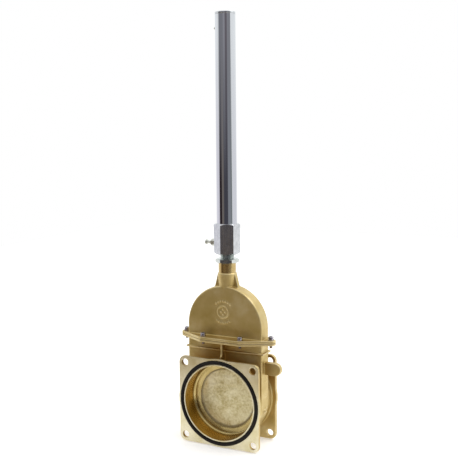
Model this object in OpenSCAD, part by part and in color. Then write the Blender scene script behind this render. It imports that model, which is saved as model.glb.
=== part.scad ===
// Hydraulic gate valve: a cast brass valve whose flat gate is lifted out of the
// pipe into a hollow bonnet by one slim hydraulic cylinder that stands on top.
// Millimetres. +Z runs up along the cylinder, +Y comes out of the rear flange,
// and the origin is the middle of the rear flange's face, on the pipe's axis.

/* [Passage] */
// Clear opening of the seat rings
seat_d = 140; // [110:1:150]
// Step from the seat rings' opening out to the bore of the pipe hubs
hub_step = 5.5; // [3:0.5:6]
// Wall of the two pipe hubs
hub_wall = 4; // [3:0.5:6]
// Distance between the outer faces of the two pipe flanges
face_to_face = 88; // [76:1:120]

/* [Pipe flanges] */
// Side of each square flange
flange_side = 176; // [170:1:186]
// Thickness of each square flange
flange_t = 7; // [6:0.5:12]
// Radius of the square flanges' corners
flange_corner_r = 12; // [6:0.5:16]
// Width of the round face boss outside the pipe seal
face_boss_lip = 4; // [3:0.5:6]
// Distance between neighbouring bolt holes
bolt_pitch = 150; // [144:1:152]
// Diameter of the bolt holes
bolt_hole_d = 14; // [8:0.5:15]
// Radius of the fillet where a hub meets its flange
hub_fillet_r = 3; // [2:0.5:5]

/* [Face seals] */
// Width of the flat land between the bore and the pipe seals
seal_land = 3.5; // [3:0.5:5]
// Thickness of the pipe seals' section
seal_ring_t = 7; // [5:0.5:7]
// How far the front seal stands proud of its flange
seal_proud = 3; // [1:0.5:3.5]

/* [Gate] */
// Thickness of the gate at its rim
gate_t = 14; // [12:0.5:20]
// How far the gate's rim laps over the seat rings
gate_lap = 5.5; // [4:0.5:8]
// Diameter of the recess in each face of the gate
gate_recess_d = 120; // [80:1:126]
// Depth of the recess in each face of the gate
gate_recess_depth = 3.5; // [1:0.5:4.5]
// Height of the boss on top of the gate, which the rod stands on
gate_boss_h = 2.5; // [2:0.5:4]
// Thickness of the part of each seat ring that faces the gate
seat_ring_t = 2.9; // [2:0.1:4]
// Length of the part of each seat ring that is pressed into its hub
seat_spigot_l = 4; // [3:0.5:8]

/* [Case and bonnet] */
// Wall of the body's case around the gate
case_wall = 6; // [5:0.5:8]
// Wall of the bonnet
bonnet_wall = 6; // [4:0.5:8]
// Rounding of the case's and the bonnet's outer edges
case_round = 3; // [2:0.5:4]
// Height of the body's top face above the pipe's axis
body_top_z = 123.5; // [118:0.5:130]
// Thickness of the flange on top of the body
body_flange_t = 4.5; // [4:0.5:10]
// Thickness of the bonnet's flange
bonnet_flange_t = 5; // [4:0.5:10]
// Thickness of the gasket between body and bonnet
gasket_t = 0.5; // [0.5:0.5:2]
// Radius of these flanges' round corners, one around each screw
lobe_r = 9.5; // [8:0.5:11]
// Distance from the case to the middle of the screws
screw_stand_off = 12.5; // [11.5:0.5:14]
// Distance from the middle to the screws in the front and rear edges
screw_x = 41; // [30:1:55]
// Height of the middle of the level rib above the pipe's axis
rib_z = 102; // [100:0.5:103]
// Thickness of the level rib
rib_t = 3; // [2:0.5:4]
// How far the level rib stands out from the case at the middle of its front and rear
rib_out = 5.5; // [3:0.5:8]
// How far the level rib stands out at the case's corners
rib_corner_out = 1.5; // [1:0.5:3]
// How far the level rib stands out at its ends
rib_end_out = 4.5; // [3:0.5:6]
// Thickness of the upright gussets
gusset_t = 3.5; // [2.5:0.5:6]
// Reach of the gussets' upright edge from the middle of the valve
gusset_reach = 29.5; // [28:0.5:31]
// Reach of the side lug from the middle of the valve
lug_reach = 117; // [104:1:126]
// Height of the side lug
lug_h = 25; // [16:1:30]
// Thickness of the side lug
lug_t = 10; // [6:0.5:14]
// Height of the side lug's middle above the pipe's axis
lug_z = 71; // [60:1:76]

/* [Neck] */
// Height of the neck above the crown of the bonnet
neck_h = 45.7; // [44:0.1:70]
// Height of the machined length at the top of the neck
neck_turned_h = 21; // [10:1:22]
// Diameter of the machined length of the neck
neck_turned_d = 35; // [34:0.5:42]
// Diameter of the cast length of the neck
neck_cast_d = 38.5; // [37:0.5:46]
// Thickness of the two webs beside the neck
web_t = 9.5; // [6:0.5:12]
// Reach of the webs at their top, from the neck's axis
web_top_x = 19.5; // [18:0.5:23]
// Reach of the webs at their foot, from the neck's axis
web_foot_x = 24.5; // [24:0.5:34]

/* [Cylinder] */
// Width across the flats of the hexagonal cylinder head
head_af = 45; // [43:0.5:60]
// Height of the cylinder head
head_h = 60.5; // [56:0.5:90]
// Direction that the hydraulic port points in, anticlockwise from +X
port_azimuth = 176; // [90:1:270]
// Height of the port above the foot of the cylinder head
port_height = 20.5; // [20:0.5:26]
// Outer diameter of the cylinder tube
tube_d = 40; // [36:0.5:41]
// Wall of the cylinder tube
tube_wall = 4; // [2:0.5:5]
// Length of the cylinder tube and its cap above the cylinder head
tube_show = 407; // [300:1:600]
// Depth to which the tube sits in the cylinder head
tube_socket = 20; // [12:1:22]
// Thickness of the cap's flat end
cap_t = 4.5; // [3:0.5:10]
// Length of the cap inside the tube
cap_plug_l = 18; // [12:1:20]
// Distance from the cylinder's top to the vent plug
vent_drop = 29; // [28:1:60]
// Diameter of the piston rod
rod_d = 20; // [16:0.5:20]
// Diameter of the rod's threaded lower end, in the gate
rod_thread_d = 10; // [6:0.5:10]
// Length of the rod's threaded lower end
rod_thread_l = 15; // [10:0.5:15]
// Diameter of the rod's upper end, in the piston
rod_tail_d = 12; // [8:0.5:14]
// Length of the piston
piston_l = 22; // [14:1:30]

/* [Neck thread and lock nut] */
// Diameter of the thread that joins cylinder and bonnet
spigot_d = 28; // [27:0.5:29]
// Length of that thread inside the neck
spigot_in = 22; // [14:1:24]
// Length of that thread left bare above the lock nut
spigot_show = 9.5; // [2:0.5:20]
// Width across the flats of the lock nut
nut_af = 41; // [36:1:50]
// Thickness of the lock nut
nut_t = 8; // [5:0.5:14]
// How far the lock nut is turned from the cylinder head
nut_turn = 54; // [0:1:59]
// Length of the guide bush below the thread
bush_l = 18; // [10:1:19]

/* [Screws] */
// Thread of the bonnet's screws
screw_d = 6; // [4:0.5:6]
// Diameter of the screws' heads
screw_head_d = 10; // [9.5:0.5:11]
// Height of the screws' heads
screw_head_h = 6; // [4:0.5:7]
// Width across the flats of the screws' sockets
socket_af = 5; // [3:0.5:6]
// Diameter of the washers
washer_d = 12; // [11:0.5:13]
// Thickness of the washers
washer_t = 1.2; // [0.8:0.1:2]
// Length of the screws' ends that stand out below the body's flange
screw_end_l = 6; // [3:0.5:9]

/* [Hydraulic fitting] */
// Width across the flats of the adapter
adapter_af = 13; // [11:0.5:17]
// Length of the adapter's hexagon
adapter_l = 13; // [10:0.5:16]
// Diameter of the adapter's thread in the cylinder head
port_thread_d = 9.6; // [6:0.1:10]
// Length of the adapter's thread in the cylinder head
port_thread_l = 5; // [3:0.5:5.5]
// Diameter of the nipple's stem
nipple_stem_d = 6; // [5:0.5:8]
// Diameter of the nipple's collar
nipple_d = 11; // [9:0.5:14]
// Length of the nipple's bare stem
nipple_stem_l = 11; // [6:0.5:14]
// Length of the nipple's collar
nipple_collar_l = 2.5; // [2:0.5:6]
// Length of the nipple's tip
nipple_tip_l = 1.5; // [1:0.5:3]
// Bore of the fitting
fitting_bore_d = 3; // [2:0.5:4]

/* [Clearances] */
// Gap around the edge of the gate
gate_side_gap = 0.8; // [0.5:0.1:1.5]
// Gap between the gate and each seat ring
gate_face_gap = 0.3; // [0.2:0.1:0.5]
// Spare travel once the gate has cleared the opening
open_spare = 0.5; // [0:0.5:4]
// Room above the raised gate
lift_spare = 3; // [1.5:0.5:6]
// Running clearance around the rod and the piston's seal
running_gap = 0.05; // [0.02:0.01:0.08]
// Room around threads and in drilled seats
thread_gap = 0.05; // [0.03:0.01:0.1]
// Room around the screws in the flanges
screw_gap = 0.3; // [0.2:0.1:0.5]
// Room between the rod and the bores it passes without touching
rod_room = 1; // [0.5:0.1:2]

/* [Hidden] */
$fn = 96;
// How far a cut runs past a face, and how far joined shapes run into each other
overcut = 1;
sink = 1;

seat_r = seat_d / 2;
hub_bore_r = seat_r + hub_step;
hub_r = hub_bore_r + hub_wall;
gate_r = seat_r + gate_lap;
cavity_r = gate_r + gate_side_gap;
cavity_half = gate_t / 2 + gate_face_gap + seat_ring_t;
case_r = cavity_r + case_wall;
case_half = cavity_half + case_wall;
bonnet_r = cavity_r + bonnet_wall;
bonnet_half = cavity_half + bonnet_wall;
middle_y = -face_to_face / 2;

// The body's casting is given in three pieces, parted at the flat faces of the gate's chamber
parting_y = face_to_face / 2 - cavity_half;

// The gate's travel clears the opening, and the bonnet's arch leaves room for it
travel = gate_r + seat_r + open_spare;
arch_z = travel + lift_spare;

gasket_top_z = body_top_z + gasket_t;
bonnet_flange_z = gasket_top_z + bonnet_flange_t;
body_flange_z = body_top_z - body_flange_t;

crown_z = arch_z + bonnet_r;
neck_z = crown_z + neck_h;
ledge_z = neck_z - neck_turned_h;
bush_top_z = neck_z - spigot_in;
bush_z = bush_top_z - bush_l;
bush_d = spigot_d - 1;
web_top_drop = 2;
web_flare = 3;
web_sink = 8;

head_z = neck_z + nut_t + spigot_show;
head_top_z = head_z + head_h;
head_chamfer = 3;
nut_chamfer = 1.5;
small_chamfer = 1;
nipple_edge = 0.5;
chamfer_spare = 0.3;
head_turn = port_azimuth - 30;
port_z = head_z + port_height;
chamber_r = tube_d / 2 - tube_wall;
chamber_floor_drop = 2;
chamber_z = port_z - port_thread_d / 2 - chamber_floor_drop;
socket_z = head_top_z - tube_socket;
tube_top_z = head_top_z + tube_show - cap_t;
vent_z = head_top_z + tube_show - vent_drop;
vent_d = 5;
vent_out = 4;
vent_bore_d = 1.5;
vent_band_t = 2.4;
cap_edge = 0.8;

rod_r = rod_d / 2;
boss_top_z = gate_r + gate_boss_h;
piston_rest_gap = 3;
piston_z = socket_z + piston_rest_gap;
piston_top_z = piston_z + piston_l;
piston_land_gap = 0.3;
piston_seal_l = 5;
piston_seal_depth = 2.5;
piston_nut_t = 8;
piston_nut_af = 20;
rod_seal_l = 5;
rod_seal_depth = 2.5;
rod_seal_rise = 6;
rod_seal_z = head_z + rod_seal_rise;
rod_tail_past_nut = 2;

seal_groove_depth = seal_ring_t - seal_proud;
seal_groove_gap = 0.1;
seal_groove_half = seal_ring_t / 2 + seal_groove_gap;
seal_r = hub_bore_r + seal_land + seal_ring_t / 2;
face_boss_r = seal_r + seal_ring_t / 2 + face_boss_lip;
seat_end_edge = 1;

washer_z = bonnet_flange_z;
screw_head_z = washer_z + washer_t;

// The screws' places, anticlockwise from above
screw_sides = ["front_left", "front_right", "right_end", "rear_right", "rear_left", "left_end"];
screw_end_x = case_r + screw_stand_off;
screw_edge_y = case_half + screw_stand_off;
screw_places = [
    [-screw_x, -screw_edge_y],
    [screw_x, -screw_edge_y],
    [screw_end_x, 0],
    [screw_x, screw_edge_y],
    [-screw_x, screw_edge_y],
    [-screw_end_x, 0],
];

// Colours as the photo shows them
cast_brass = "#b39a5f";
turned_brass = "#cdb877";
rough_brass = "#c2b88a";
polished_steel = "#c9cbd0";
zinc_steel = "#aab0b2";
dark_steel = "#6d7069";
black_rubber = "#1c1712";
gasket_grey = "#57544c";

// Outlines and shared shapes

module rounded_rect(half_x, half_y, r) {
    square([2 * (half_x - r), 2 * half_y], center = true);
    square([2 * half_x, 2 * (half_y - r)], center = true);
    for (x = [-1, 1], y = [-1, 1])
        translate([x * (half_x - r), y * (half_y - r)]) circle(r);
}

// A round bar along +Y that starts at y
module bar_y(r, y, l) {
    translate([0, y, 0]) rotate([-90, 0, 0]) cylinder(r = r, h = l);
}

// Half a round-edged disc that stands on edge, with its flat side level
module half_disc(r, half_t, round, up) {
    rotate([up ? 90 : -90, 0, 0]) rotate_extrude(angle = 180) intersection() {
        rounded_rect(r, half_t, round);
        translate([0, -half_t]) square([r, 2 * half_t]);
    }
}

// The same thickness and edges carried straight up
module slab(r, half_t, round, low, high) {
    translate([0, 0, low]) linear_extrude(high - low) rounded_rect(r, half_t, round);
}

// Both ends of each straight edge that joins round corners of this radius, anticlockwise
function edge_ends(corners, r) = [
    for (i = [0 : len(corners) - 1])
        let (
            start = corners[i],
            end = corners[(i + 1) % len(corners)],
            along = (end - start) / norm(end - start),
            outward = [along[1], -along[0]]
        )
        each [start + r * outward, end + r * outward]
];

// One of the plates that join body and bonnet: straight edges with a round corner at each screw
module joint_plate(z, t, hole_r) {
    translate([0, middle_y, z]) difference() {
        union() {
            linear_extrude(t) polygon(edge_ends(screw_places, lobe_r));
            for (place = screw_places) translate([place[0], place[1], 0]) cylinder(r = lobe_r, h = t);
        }
        for (place = screw_places)
            translate([place[0], place[1], -overcut]) cylinder(r = hole_r, h = t + 2 * overcut);
    }
}

module hex_bar(af, h) {
    cylinder(r = af / 2 / cos(30), h = h, $fn = 6);
}

// A hexagonal bar whose ends are turned to a cone, as nuts and heads are
module chamfered_hex(af, h, chamfer) {
    outer_r = af / 2 / cos(30) + chamfer_spare;
    face_r = af / 2 - chamfer_spare;
    intersection() {
        hex_bar(af, h);
        rotate_extrude() polygon([
            [0, 0],
            [face_r, 0],
            [outer_r, chamfer],
            [outer_r, h - chamfer],
            [face_r, h],
            [0, h],
        ]);
    }
}

// Carries a shape made along +Z over to the port's axis, with z = 0 on the head's flat
module on_port(z) {
    rotate([0, 0, port_azimuth]) translate([head_af / 2, 0, z]) rotate([0, 90, 0]) children();
}

module at_middle() {
    translate([0, middle_y, 0]) children();
}

// Body casting

module square_flange() {
    rotate([90, 0, 0]) linear_extrude(flange_t) {
        rounded_rect(flange_side / 2, flange_side / 2, flange_corner_r);
        circle(face_boss_r);
    }
}

// Holes through the flanges alone, because the case stands behind the upper ones
module bolt_holes() {
    for (x = [-1, 1], y = [-flange_t, -face_to_face], z = [-1, 1])
        translate([x * bolt_pitch / 2, y, z * bolt_pitch / 2])
            bar_y(bolt_hole_d / 2, -overcut, flange_t + 2 * overcut);
}

// Ring of metal that fills the corner between a hub and its flange, at y = 0
module hub_fillet() {
    rotate([90, 0, 0]) rotate_extrude() difference() {
        translate([hub_r - sink, -sink]) square(hub_fillet_r + sink);
        translate([hub_r + hub_fillet_r, hub_fillet_r]) circle(hub_fillet_r);
    }
}

// Upright web from the flange on top of the body, which sweeps out to the pipe flange's edge
module gusset() {
    foot_y = face_to_face / 2 - flange_t + sink;
    foot_z = max(face_boss_r, flange_side / 2);
    sweep_r = foot_y - gusset_reach;
    translate([-gusset_t / 2, 0, 0]) rotate([90, 0, 90]) linear_extrude(gusset_t) difference() {
        polygon([
            [case_half - sink, body_flange_z + sink],
            [gusset_reach, body_flange_z + sink],
            [gusset_reach, foot_z + sweep_r],
            [foot_y, foot_z + sweep_r],
            [foot_y, hub_bore_r + sink],
            [case_half - sink, hub_bore_r + sink],
        ]);
        translate([foot_y, foot_z + sweep_r]) circle(sweep_r);
    }
}

// Level rib around the case, which runs out towards the middle of the front and the rear
module level_rib() {
    end_x = case_r + rib_end_out;
    end_y = case_half + rib_corner_out;
    middle_half = case_half + rib_out;
    translate([0, 0, rib_z - rib_t / 2]) linear_extrude(rib_t) polygon([
        [-end_x, -end_y],
        [-screw_x, -middle_half],
        [screw_x, -middle_half],
        [end_x, -end_y],
        [end_x, end_y],
        [screw_x, middle_half],
        [-screw_x, middle_half],
        [-end_x, end_y],
    ]);
}

module side_lug() {
    round_r = lug_h / 2;
    translate([0, lug_t / 2, 0]) rotate([90, 0, 0]) linear_extrude(lug_t) {
        translate([lug_reach - round_r, lug_z]) circle(round_r);
        translate([case_r - sink, lug_z - round_r]) square([lug_reach - round_r - case_r + sink, lug_h]);
    }
}

module seal_groove() {
    rotate([90, 0, 0]) rotate_extrude()
        translate([seal_r - seal_groove_half, -overcut])
            square([2 * seal_groove_half, seal_groove_depth + overcut]);
}

// The whole casting: case, joint flange, two pipe hubs with their flanges, webs and lug
module body_casting() difference() {
    union() {
        for (end = [0, 1]) translate([0, -end * face_to_face, 0]) mirror([0, end, 0]) {
            square_flange();
            translate([0, -flange_t, 0]) hub_fillet();
        }
        bar_y(hub_r, sink - face_to_face, face_to_face - 2 * sink);
        at_middle() {
            half_disc(case_r, case_half, case_round, false);
            slab(case_r, case_half, case_round, 0, body_top_z - sink);
            level_rib();
            gusset();
            mirror([0, 1, 0]) gusset();
            side_lug();
        }
        joint_plate(body_flange_z, body_flange_t, screw_d / 2 + thread_gap);
    }
    bar_y(hub_bore_r, -face_to_face - overcut, face_to_face + 2 * overcut);
    at_middle() {
        bar_y(cavity_r, -cavity_half, 2 * cavity_half);
        translate([-cavity_r, -cavity_half, 0]) cube([2 * cavity_r, 2 * cavity_half, body_top_z + overcut]);
    }
    bolt_holes();
    seal_groove();
    translate([0, -face_to_face, 0]) mirror([0, 1, 0]) seal_groove();
}

// The space of the rear pipe flange with its hub and wall, in to the face of the chamber
module flange_space() {
    half = max(face_boss_r, flange_side / 2) + sink;
    translate([-half, -parting_y, -half]) cube([2 * half, parting_y + overcut, 2 * half]);
}

module front_space() {
    translate([0, -face_to_face, 0]) mirror([0, 1, 0]) flange_space();
}

module valve_body() color(cast_brass) difference() {
    body_casting();
    flange_space();
    front_space();
}

module rear_pipe_flange() color(cast_brass) intersection() {
    body_casting();
    flange_space();
}

module front_pipe_flange() color(cast_brass) intersection() {
    body_casting();
    front_space();
}

// Seat rings and pipe seals

// Ring pressed into a hub's inner end, with a rounded lip that faces the gate
module seat_ring() {
    rotate([-90, 0, 0]) rotate_extrude() difference() {
        union() {
            translate([seat_r, 0]) square([cavity_r - gate_side_gap / 2 - seat_r, seat_ring_t]);
            translate([seat_r, 0]) square([hub_step, seat_ring_t + seat_spigot_l]);
        }
        translate([seat_r, seat_ring_t + seat_spigot_l]) circle(hub_step - seat_end_edge);
    }
}

module rear_seat_ring() color(turned_brass)
    translate([0, middle_y + gate_t / 2 + gate_face_gap, 0]) seat_ring();

module front_seat_ring() color(turned_brass)
    translate([0, middle_y - gate_t / 2 - gate_face_gap, 0]) mirror([0, 1, 0]) seat_ring();

module front_pipe_seal() color(black_rubber)
    translate([0, -face_to_face - seal_proud + seal_ring_t / 2, 0])
        rotate([90, 0, 0]) rotate_extrude() translate([seal_r, 0]) circle(seal_ring_t / 2);

// The rear seal lies squeezed flush with its flange, as it is once bolted up
module rear_pipe_seal() color(black_rubber)
    translate([0, -seal_groove_depth, 0]) rotate([-90, 0, 0]) rotate_extrude()
        translate([seal_r, seal_groove_depth / 2])
            rounded_rect(seal_ring_t / 2, seal_groove_depth / 2, seal_groove_depth / 4);

// Gate

module gate() color(rough_brass) at_middle() difference() {
    union() {
        bar_y(gate_r, -gate_t / 2, gate_t);
        cylinder(r = gate_t / 2, h = boss_top_z);
    }
    for (side = [0, 180]) rotate([0, 0, side])
        bar_y(gate_recess_d / 2, gate_t / 2 - gate_recess_depth, gate_recess_depth + overcut);
    translate([0, 0, boss_top_z - rod_thread_l])
        cylinder(r = rod_thread_d / 2 + thread_gap, h = rod_thread_l + overcut);
}

// Bonnet casting

// Web beside the neck, which flares out where it runs into the crown
module neck_web() {
    top_z = ledge_z - web_top_drop;
    low_z = crown_z - web_sink;
    translate([0, web_t / 2, 0]) rotate([90, 0, 0]) linear_extrude(web_t) polygon([
        [0, top_z],
        [web_top_x, top_z],
        [web_foot_x, crown_z + web_flare],
        [web_foot_x + web_flare, low_z],
        [0, low_z],
    ]);
}

// Cast as a cone that starts as wide as the bonnet is thick, with a machined length on top
module neck_solid() {
    foot_z = crown_z - bonnet_wall;
    translate([0, 0, foot_z]) cylinder(d1 = 2 * bonnet_half, d2 = neck_cast_d, h = ledge_z - foot_z);
    translate([0, 0, ledge_z - sink]) cylinder(d = neck_turned_d, h = neck_turned_h + sink);
}

module bonnet() color(cast_brass) difference() {
    union() {
        at_middle() {
            translate([0, 0, arch_z]) half_disc(bonnet_r, bonnet_half, case_round, true);
            slab(bonnet_r, bonnet_half, case_round, gasket_top_z + sink, arch_z);
            neck_solid();
            neck_web();
            mirror([1, 0, 0]) neck_web();
        }
        joint_plate(gasket_top_z, bonnet_flange_t, screw_d / 2 + screw_gap);
    }
    at_middle() {
        translate([0, 0, arch_z]) bar_y(cavity_r, -cavity_half, 2 * cavity_half);
        translate([-cavity_r, -cavity_half, gasket_top_z - overcut])
            cube([2 * cavity_r, 2 * cavity_half, arch_z - gasket_top_z + overcut]);
        translate([0, 0, arch_z]) cylinder(r = rod_r + rod_room, h = bush_z - arch_z + overcut);
        translate([0, 0, bush_z]) cylinder(d = bush_d, h = bush_l + overcut);
        translate([0, 0, bush_top_z]) cylinder(r = spigot_d / 2 + thread_gap, h = spigot_in + overcut);
    }
}

module bonnet_gasket() color(gasket_grey) difference() {
    joint_plate(body_top_z, gasket_t, screw_d / 2 + screw_gap);
    at_middle() translate([-cavity_r, -cavity_half, body_top_z - overcut])
        cube([2 * cavity_r, 2 * cavity_half, gasket_t + 2 * overcut]);
}

module guide_bush() color(turned_brass) at_middle() translate([0, 0, bush_z]) difference() {
    cylinder(d = bush_d, h = bush_l);
    translate([0, 0, -overcut]) cylinder(r = rod_r + running_gap, h = bush_l + 2 * overcut);
}

// Cylinder

module cylinder_head() color(polished_steel) at_middle() difference() {
    union() {
        translate([0, 0, head_z]) rotate([0, 0, head_turn]) chamfered_hex(head_af, head_h, head_chamfer);
        translate([0, 0, bush_top_z]) cylinder(d = spigot_d, h = head_z - bush_top_z + sink);
    }
    translate([0, 0, bush_top_z - overcut])
        cylinder(r = rod_r + rod_room, h = head_z - bush_top_z + overcut);
    translate([0, 0, head_z - overcut]) cylinder(r = rod_r + running_gap, h = chamber_z - head_z + 2 * overcut);
    translate([0, 0, rod_seal_z]) cylinder(r = rod_r + rod_seal_depth, h = rod_seal_l);
    translate([0, 0, chamber_z]) cylinder(r = chamber_r, h = socket_z - chamber_z + overcut);
    translate([0, 0, socket_z]) cylinder(r = tube_d / 2 + thread_gap, h = tube_socket + overcut);
    on_port(port_z) translate([0, 0, chamber_r - overcut - head_af / 2])
        cylinder(r = port_thread_d / 2 + thread_gap, h = head_af / 2 - chamber_r + 2 * overcut);
}

module rod_seal() color(black_rubber) at_middle() translate([0, 0, rod_seal_z]) difference() {
    cylinder(r = rod_r + rod_seal_depth, h = rod_seal_l);
    translate([0, 0, -overcut]) cylinder(r = rod_r + running_gap, h = rod_seal_l + 2 * overcut);
}

module lock_nut() color(zinc_steel) at_middle() translate([0, 0, neck_z]) difference() {
    rotate([0, 0, head_turn + nut_turn]) chamfered_hex(nut_af, nut_t, nut_chamfer);
    translate([0, 0, -overcut]) cylinder(r = spigot_d / 2 + thread_gap, h = nut_t + 2 * overcut);
}

module cylinder_tube() color(polished_steel) at_middle() difference() {
    translate([0, 0, socket_z]) cylinder(d = tube_d, h = tube_top_z - socket_z);
    translate([0, 0, socket_z - overcut]) cylinder(r = chamber_r, h = tube_top_z - socket_z + 2 * overcut);
    translate([0, 0, vent_z]) rotate([0, 0, port_azimuth]) rotate([0, 90, 0])
        cylinder(r = vent_d / 2 + thread_gap, h = tube_d);
}

module cylinder_cap() color(polished_steel) at_middle() translate([0, 0, tube_top_z])
    rotate_extrude() polygon([
        [0, -cap_plug_l],
        [chamber_r - thread_gap - cap_edge, -cap_plug_l],
        [chamber_r - thread_gap, cap_edge - cap_plug_l],
        [chamber_r - thread_gap, 0],
        [tube_d / 2 - cap_edge, 0],
        [tube_d / 2, cap_edge],
        [tube_d / 2, cap_t - cap_edge],
        [tube_d / 2 - cap_edge, cap_t],
        [0, cap_t],
    ]);

module vent_plug() color(dark_steel) at_middle() translate([0, 0, vent_z])
    rotate([0, 0, port_azimuth]) translate([chamber_r, 0, 0]) rotate([0, 90, 0]) difference() {
        union() {
            cylinder(d = vent_d, h = tube_wall + vent_out);
            translate([0, 0, tube_wall + (vent_out - vent_band_t) / 2])
                cylinder(d = vent_d + vent_band_t / 2, h = vent_band_t);
        }
        translate([0, 0, -overcut]) cylinder(d = vent_bore_d, h = tube_wall + vent_out + 2 * overcut);
    }

module port_adapter() color(dark_steel) at_middle() on_port(port_z) difference() {
    union() {
        chamfered_hex(adapter_af, adapter_l, small_chamfer);
        translate([0, 0, -port_thread_l]) cylinder(d = port_thread_d, h = port_thread_l + sink);
    }
    translate([0, 0, -port_thread_l - overcut])
        cylinder(d = fitting_bore_d, h = port_thread_l + adapter_l + 2 * overcut);
}

module port_nipple() color(dark_steel) at_middle() on_port(port_z) translate([0, 0, adapter_l]) {
    collar_top = nipple_stem_l + nipple_collar_l;
    rotate_extrude() polygon([
        [fitting_bore_d / 2, 0],
        [nipple_stem_d / 2, 0],
        [nipple_stem_d / 2, nipple_stem_l],
        [nipple_d / 2 - nipple_edge, nipple_stem_l],
        [nipple_d / 2, nipple_stem_l + nipple_edge],
        [nipple_d / 2, collar_top - nipple_edge],
        [nipple_d / 2 - nipple_edge, collar_top],
        [nipple_stem_d / 2, collar_top],
        [nipple_stem_d / 2 - nipple_edge, collar_top + nipple_tip_l],
        [fitting_bore_d / 2, collar_top + nipple_tip_l],
    ]);
}

// Rod and piston

module piston_rod() color(polished_steel) at_middle() {
    translate([0, 0, boss_top_z]) cylinder(d = rod_d, h = piston_z - boss_top_z);
    translate([0, 0, boss_top_z - rod_thread_l + sink]) cylinder(d = rod_thread_d, h = rod_thread_l);
    translate([0, 0, piston_z - sink])
        cylinder(d = rod_tail_d, h = sink + piston_l + piston_nut_t + rod_tail_past_nut);
}

module piston() color(zinc_steel) at_middle() translate([0, 0, piston_z]) difference() {
    cylinder(r = chamber_r - piston_land_gap, h = piston_l);
    translate([0, 0, -overcut]) cylinder(r = rod_tail_d / 2 + thread_gap, h = piston_l + 2 * overcut);
    translate([0, 0, (piston_l - piston_seal_l) / 2]) difference() {
        cylinder(r = chamber_r, h = piston_seal_l);
        translate([0, 0, -overcut]) cylinder(r = chamber_r - piston_seal_depth, h = piston_seal_l + 2 * overcut);
    }
}

module piston_seal() color(black_rubber) at_middle()
    translate([0, 0, piston_z + (piston_l - piston_seal_l) / 2]) difference() {
        cylinder(r = chamber_r - running_gap, h = piston_seal_l);
        translate([0, 0, -overcut]) cylinder(r = chamber_r - piston_seal_depth, h = piston_seal_l + 2 * overcut);
    }

module piston_nut() color(zinc_steel) at_middle() translate([0, 0, piston_top_z]) difference() {
    chamfered_hex(piston_nut_af, piston_nut_t, nut_chamfer);
    translate([0, 0, -overcut]) cylinder(r = rod_tail_d / 2 + thread_gap, h = piston_nut_t + 2 * overcut);
}

// Screws between body and bonnet

// Socket-head screw, screwed into the body's flange, whose end stands out below
module bonnet_screw(place) color(zinc_steel) at_middle() translate([place[0], place[1], 0]) difference() {
    end_z = body_flange_z - screw_end_l;
    union() {
        translate([0, 0, end_z]) cylinder(d = screw_d, h = screw_head_z - end_z + sink);
        translate([0, 0, screw_head_z]) cylinder(d = screw_head_d, h = screw_head_h);
    }
    translate([0, 0, screw_head_z + screw_head_h / 2]) hex_bar(socket_af, screw_head_h);
}

module bonnet_washer(place) color(zinc_steel) at_middle() translate([place[0], place[1], washer_z])
    difference() {
        cylinder(d = washer_d, h = washer_t);
        translate([0, 0, -overcut]) cylinder(r = screw_d / 2 + thread_gap, h = washer_t + 2 * overcut);
    }

valve_body();
front_pipe_flange();
rear_pipe_flange();
bonnet();
bonnet_gasket();
front_seat_ring();
rear_seat_ring();
front_pipe_seal();
rear_pipe_seal();
gate();
piston_rod();
piston();
piston_seal();
piston_nut();
guide_bush();
rod_seal();
cylinder_head();
lock_nut();
cylinder_tube();
cylinder_cap();
vent_plug();
port_adapter();
port_nipple();
for (i = [0 : len(screw_sides) - 1]) {
    bonnet_screw(screw_places[i]);
    bonnet_washer(screw_places[i]);
}
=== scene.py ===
import math

import bmesh
import bpy
from mathutils import Matrix, Vector
from mathutils.bvhtree import BVHTree


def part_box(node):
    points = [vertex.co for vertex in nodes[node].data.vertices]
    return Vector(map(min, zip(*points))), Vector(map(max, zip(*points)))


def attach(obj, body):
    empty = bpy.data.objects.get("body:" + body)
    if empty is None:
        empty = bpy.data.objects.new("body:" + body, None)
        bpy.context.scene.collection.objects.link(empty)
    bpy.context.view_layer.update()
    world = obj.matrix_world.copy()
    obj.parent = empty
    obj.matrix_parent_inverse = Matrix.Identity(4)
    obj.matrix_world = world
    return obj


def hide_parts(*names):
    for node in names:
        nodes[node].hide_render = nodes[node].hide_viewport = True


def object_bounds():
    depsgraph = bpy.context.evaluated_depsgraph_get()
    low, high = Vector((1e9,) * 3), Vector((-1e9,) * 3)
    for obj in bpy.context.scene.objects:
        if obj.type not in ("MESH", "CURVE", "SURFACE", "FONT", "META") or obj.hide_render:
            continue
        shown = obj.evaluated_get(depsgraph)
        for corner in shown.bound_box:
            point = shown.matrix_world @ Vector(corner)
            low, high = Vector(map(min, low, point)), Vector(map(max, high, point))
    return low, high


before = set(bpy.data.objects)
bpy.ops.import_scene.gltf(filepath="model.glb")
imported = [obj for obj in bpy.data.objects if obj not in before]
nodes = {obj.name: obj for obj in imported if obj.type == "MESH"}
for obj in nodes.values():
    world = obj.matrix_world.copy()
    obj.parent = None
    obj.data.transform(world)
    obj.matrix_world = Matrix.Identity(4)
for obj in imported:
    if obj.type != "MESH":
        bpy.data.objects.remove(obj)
cad_box = [list(corner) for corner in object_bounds()]

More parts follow.
